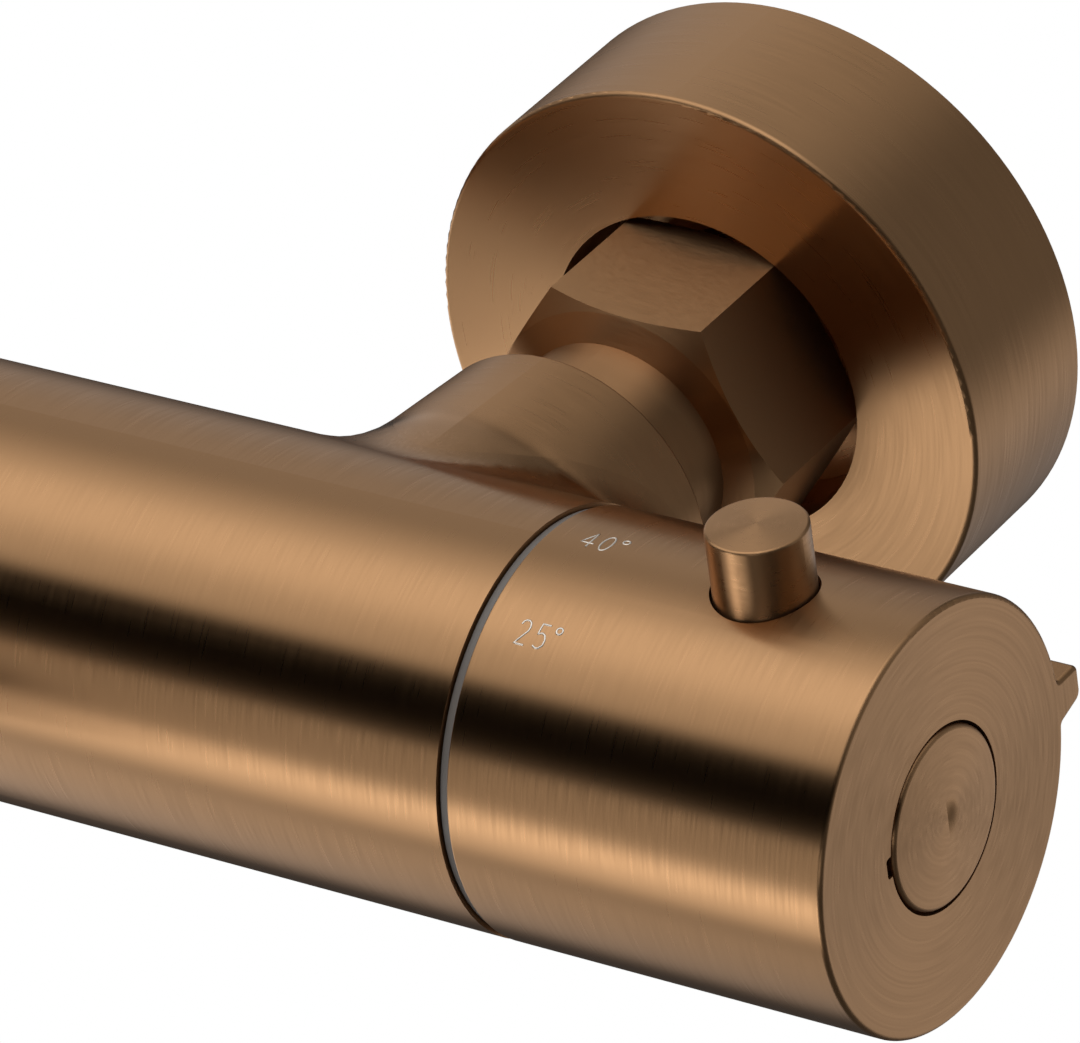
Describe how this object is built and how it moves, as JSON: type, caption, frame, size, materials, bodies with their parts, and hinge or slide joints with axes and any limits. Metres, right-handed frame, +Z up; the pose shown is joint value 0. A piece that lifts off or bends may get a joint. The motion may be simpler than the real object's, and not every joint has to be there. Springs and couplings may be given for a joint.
{
  "type": "bath mixer",
  "caption": "Wall-mounted bath mixer on a round horizontal bar: temperature knob with safety button, flow knob, union nuts, rosettes, bath spout and hose outlet.",
  "frame": {"origin": "on the finished wall plane, midway between the centres of the two wall threads", "axes": "+X to the right along the bar, +Y into the wall, +Z up"},
  "size_m": [0.2878, 0.1974, 0.0787],
  "materials": {
    "brushed_bronze_plate": "brushed bronze plating over cast and turned brass, brushed round the bar",
    "bare_brass": "turned bare brass",
    "copper_sheath": "drawn copper sheath of the wax element",
    "stainless_steel": "drawn stainless wire and sheet",
    "seal_rubber": "moulded black rubber",
    "valve_ceramic": "lapped alumina ceramic",
    "acetal": "moulded grey acetal"
  },
  "bodies": {
    "mixer": {"mixer_body": "brushed_bronze_plate", "temperature_stop_ring": "acetal", "cartridge_housing": "bare_brass", "cartridge_seal": "seal_rubber", "flow_stop_ring": "acetal", "headwork_housing": "bare_brass", "headwork_seal": "seal_rubber", "fixed_ceramic_disc": "valve_ceramic", "bath_spout": "brushed_bronze_plate", "aerator_housing": "brushed_bronze_plate", "aerator_insert": "acetal", "shower_outlet_nipple": "brushed_bronze_plate", "return_spring": "stainless_steel", "hot_inlet_nipple": "bare_brass", "hot_union_nut": "brushed_bronze_plate", "hot_inlet_strainer": "stainless_steel", "hot_inlet_washer": "seal_rubber", "hot_check_valve_housing": "acetal", "hot_check_valve_spring": "stainless_steel", "hot_wall_connector": "bare_brass", "hot_rosette": "brushed_bronze_plate", "hot_rosette_seal": "seal_rubber", "cold_inlet_nipple": "bare_brass", "cold_union_nut": "brushed_bronze_plate", "cold_inlet_strainer": "stainless_steel", "cold_inlet_washer": "seal_rubber", "cold_check_valve_housing": "acetal", "cold_check_valve_spring": "stainless_steel", "cold_wall_connector": "bare_brass", "cold_rosette": "brushed_bronze_plate", "cold_rosette_seal": "seal_rubber"},
    "temperature_control": {"temperature_knob": "brushed_bronze_plate", "temperature_wear_ring": "acetal", "safety_button_retainer": "stainless_steel", "safety_button_spring": "stainless_steel", "temperature_knob_cap": "brushed_bronze_plate", "temperature_knob_screw": "stainless_steel", "cartridge_spindle": "bare_brass"},
    "safety_button": {"safety_button": "brushed_bronze_plate"},
    "regulating_piston": {"regulating_piston": "acetal", "wax_element": "copper_sheath"},
    "flow_control": {"flow_knob": "brushed_bronze_plate", "flow_wear_ring": "acetal", "eco_button_retainer": "stainless_steel", "eco_button_spring": "stainless_steel", "flow_knob_cap": "brushed_bronze_plate", "flow_knob_screw": "stainless_steel", "headwork_spindle": "bare_brass", "turning_ceramic_disc": "valve_ceramic"},
    "eco_button": {"eco_button": "brushed_bronze_plate"},
    "hot_check_valve_poppet": {"hot_check_valve_poppet": "acetal"},
    "cold_check_valve_poppet": {"cold_check_valve_poppet": "acetal"}
  },
  "joints": [
    {"name": "temperature_turn", "type": "hinge", "parent": "mixer", "child": "temperature_control", "pos_m": [0.1, -0.0844, 0.008], "axis": [1, 0, 0], "range_deg": [-150, 60]},
    {"name": "safety_button_press", "type": "slide", "parent": "temperature_control", "child": "safety_button", "axis": [0, 0, -1], "range_m": [0, 0.0025], "stiffness_N_per_m": 400, "springref_m": -0.001, "deforming": ["safety_button_spring"]},
    {"name": "piston_slide", "type": "slide", "parent": "mixer", "child": "regulating_piston", "axis": [1, 0, 0], "range_m": [-0.0003, 0.00065], "deforming": ["return_spring"]},
    {"name": "flow_turn", "type": "hinge", "parent": "mixer", "child": "flow_control", "pos_m": [-0.1, -0.0844, 0.008], "axis": [1, 0, 0], "range_deg": [-90, 90]},
    {"name": "eco_button_press", "type": "slide", "parent": "flow_control", "child": "eco_button", "axis": [0, 0, -1], "range_m": [0, 0.0025], "stiffness_N_per_m": 400, "springref_m": -0.001, "deforming": ["eco_button_spring"]},
    {"name": "hot_check_valve_lift", "type": "slide", "parent": "mixer", "child": "hot_check_valve_poppet", "axis": [0, -1, 0], "range_m": [0, 0.0025], "stiffness_N_per_m": 60, "springref_m": -0.001, "deforming": ["hot_check_valve_spring"]},
    {"name": "cold_check_valve_lift", "type": "slide", "parent": "mixer", "child": "cold_check_valve_poppet", "axis": [0, -1, 0], "range_m": [0, 0.0025], "stiffness_N_per_m": 60, "springref_m": -0.001, "deforming": ["cold_check_valve_spring"]}
  ],
  "couplings": [
    {"joint": "piston_slide", "follows": "temperature_turn", "m_per_rad": -0.00023873}
  ]
}
